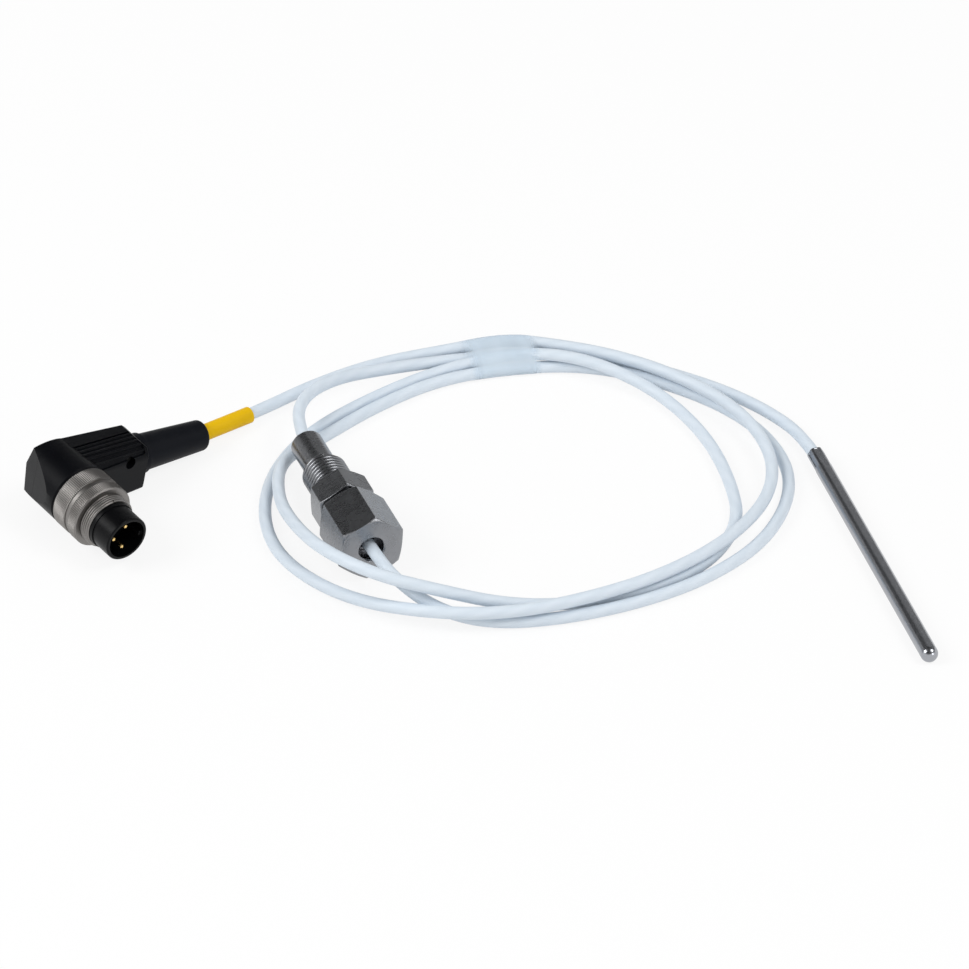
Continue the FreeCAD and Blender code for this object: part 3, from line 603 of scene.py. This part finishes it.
def wrap_reach(places, middle, way, reach):
    """How far a tight wrap round the runs lies from their middle, one way."""
    distances = []
    for step in range(FILM_COLUMNS * 2):
        angle = math.pi * step / FILM_COLUMNS
        side = Vector((math.cos(angle), math.sin(angle)))
        if side.dot(way) > WRAP_FACING:
            support = max(place.dot(side) for place in places) + reach - middle.dot(side)
            distances.append(support / side.dot(way))
    return min(distances)


# Clear film: a sleeve pulled along the coil and shrunk onto the runs inside it.
film = turned("coil_film_shown", [(x, FILM_SLEEVE) for x in FILM_STATIONS], FILM_COLUMNS)
for vertex in film.data.vertices:
    strands = runs_at(vertex.co.x)
    middle = sum(strands, Vector((0, 0))) / len(strands)
    way = Vector((vertex.co.y, vertex.co.z)).normalized()
    place = middle + way * wrap_reach(strands, middle, way, CABLE_DIA / 2 + FILM_ROOM)
    vertex.co.y = place.x
    vertex.co.z = place.y
modify(film, "SOLIDIFY", thickness=FILM_THICKNESS, offset=1.0)
smooth(film, ROUND_ANGLE)
stand_for(film, "coil_film", CLEAR_FILM)


def in_knurl(point):
    """Points of the ring's two bands that the knurl presses in."""
    column = round(math.atan2(point.z, point.y) / FULL_TURN * RING_COLUMNS) % KNURL_PERIOD
    banded = any(low < point.x / MM < high for low, high in KNURL_BANDS)
    return banded and from_axis(point) > KNURL_OVER and column >= KNURL_STANDING


# Coupling ring: turned, its two bands knurled, its thread wound on.
ring = turned("coupling_ring_shown", RING_PROFILE, RING_COLUMNS)
press_in(ring, in_knurl, KNURL_DEPTH)
smooth(ring, KNURL_ANGLE)
join(ring, ridge("coupling_thread", start=21.6, pitch=0.75, turns=4, root=7.55, crest=7.98))
ring.data.transform(PLUG_PLACE)
stand_for(ring, "coupling_ring", RING_NICKEL)


def on_thread(point):
    """Points of the fitting's plain thread cylinder."""
    return (THREAD_BAND[0] < point.x / MM < THREAD_BAND[1]
            and THREAD_OUTSIDE[0] < from_axis(point) < THREAD_OUTSIDE[1])


# Fitting body: its pipe thread cut to the root and wound on.
body = joined_copy("fitting_body")
body.data.transform(FITTING_PLACE.inverted())
press_in(body, on_thread, THREAD_ROOT)
polish(body, FITTING_EDGE)
join(body, ridge("pipe_thread", start=14.9, pitch=1.337, turns=8, root=5.75, crest=6.56))
body.data.transform(FITTING_PLACE)
stand_for(body, "fitting_body", FITTING_STEEL)

refined("union_nut", FITTING_STEEL, FITTING_EDGE)

# Sheath: a dent is pressed into each flat of its crimp.
sheath = joined_copy("probe_sheath")
edit_where(sheath, "FACE", lambda face: face.center.y > CRIMP_START and face.area > CRIMP_FLAT)
bpy.ops.mesh.inset(thickness=DENT_MARGIN, depth=0.0, use_individual=True)
bpy.ops.mesh.inset(thickness=DENT_SLOPE, depth=-DENT_DEPTH, use_individual=True)
bpy.ops.object.mode_set(mode="OBJECT")
polish(sheath, SHEATH_EDGE)
stand_for(sheath, "probe_sheath", SHEATH_STEEL)

# Plug, boot and marker. A bevel doesn't suit the housing's small edges.
refined("plug_body", HOUSING_PLASTIC, angle=HOUSING_ANGLE)
refined("plug_cover", HOUSING_PLASTIC, angle=HOUSING_ANGLE)
refined("kink_boot", BOOT_RUBBER, BOOT_EDGE)
refined("marker_sleeve", MARKER_YELLOW, MARKER_EDGE)
refined("pin_insert", INSERT_PLASTIC, INSERT_EDGE)
for number in (1, 2, 3):
    refined("contact_pin_%d" % number, PIN_GOLD)
refined("housing_screw", SCREW_STEEL)

# Inner pieces keep their CAD shape.
INNER_FINISHES = {
    "sensing_element": CERAMIC, "element_insulator": CERAMIC, "element_leads": COPPER,
    "end_seal": SEAL, "ring_clip": CLAMP_STEEL, "cable_clamp": CLAMP_STEEL,
    "clamp_screws": CLAMP_STEEL, "plug_wires": COPPER, "ferrule": FITTING_STEEL,
    "thrust_ring": FITTING_STEEL,
}
for node, finish in INNER_FINISHES.items():
    dress(NODES[node], finish)


def studio_paper():
    """White floor: where it shows as background it is near white, with the shadow faint on it."""
    finish = Finish(bpy.data.materials.new("studio_paper"), Base_Color=PAPER_WHITE,
                    Roughness=0.9, Specular_IOR_Level=0.1)
    lit = Value(finish, finish.shader.outputs[0])
    white = finish.node("ShaderNodeEmission", {}, {"Color": WHITE, "Strength": 1.0})
    share = finish.background_rays() * FLOOR_WHITE
    mixed = finish.node("ShaderNodeMixShader", {}, {0: share, 1: lit, 2: white})
    surface = finish.tree.nodes["Material Output"].inputs["Surface"]
    finish.tree.links.new(mixed.socket, surface)
    return finish


def aim(thing, target, front="-Z"):
    """Turn a card, a lamp or the camera towards a point."""
    thing.rotation_euler = (target - thing.location).to_track_quat(front, "Y").to_euler()


def staged_plane(name, size, place, finish):
    """A plane of the studio, which is no piece of the part."""
    bpy.ops.object.select_all(action="DESELECT")
    bpy.ops.mesh.primitive_plane_add(size=size, location=place)
    plane = bpy.context.object
    plane.name = name
    dress(plane, finish)
    return plane


# Studio: white floor and surround, three soft lamps, grey cards that only shiny faces show.
scene = bpy.context.scene
scene.view_settings.view_transform = "Standard"
staged_plane("studio_floor", FLOOR_SIZE, (0, 0, 0), studio_paper())

# The surround is white where it shows, and dimmer as a light.
scene.world = bpy.data.worlds.new("studio_surround")
surround = Finish(scene.world, "Background", Color=WHITE)
surround.feed("Strength", 1 - (1 - surround.background_rays()) * (1 - SURROUND_LIGHT))

for name, place, width, height, grey in CARDS:
    paint = moulded("card_" + name, dark=(grey,) * 3, light=(grey * CARD_MOTTLE,) * 3,
                    roughness=0.9, grain=300.0, depth=0.01 * MM, shine=0.0)
    card = staged_plane("card_" + name, 1.0, place, paint)
    card.scale = (width, height, 1)
    aim(card, OBJECT_MIDDLE, "Z")
    card.visible_camera = False
    card.visible_diffuse = False
    card.visible_transmission = False
    card.visible_shadow = False

for name, place, size, power in LAMPS:
    lamp = bpy.data.lights.new("lamp_" + name, "AREA")
    lamp.size = size
    lamp.energy = power
    holder = added("lamp_" + name, lamp)
    holder.location = place
    aim(holder, OBJECT_MIDDLE)

lens = bpy.data.cameras.new("photo_camera")
lens.lens = CAMERA_LENS
lens.sensor_width = CAMERA_SENSOR
camera = added("photo_camera", lens)
camera.location = CAMERA_AT
aim(camera, CAMERA_LOOKS_AT)
scene.camera = camera
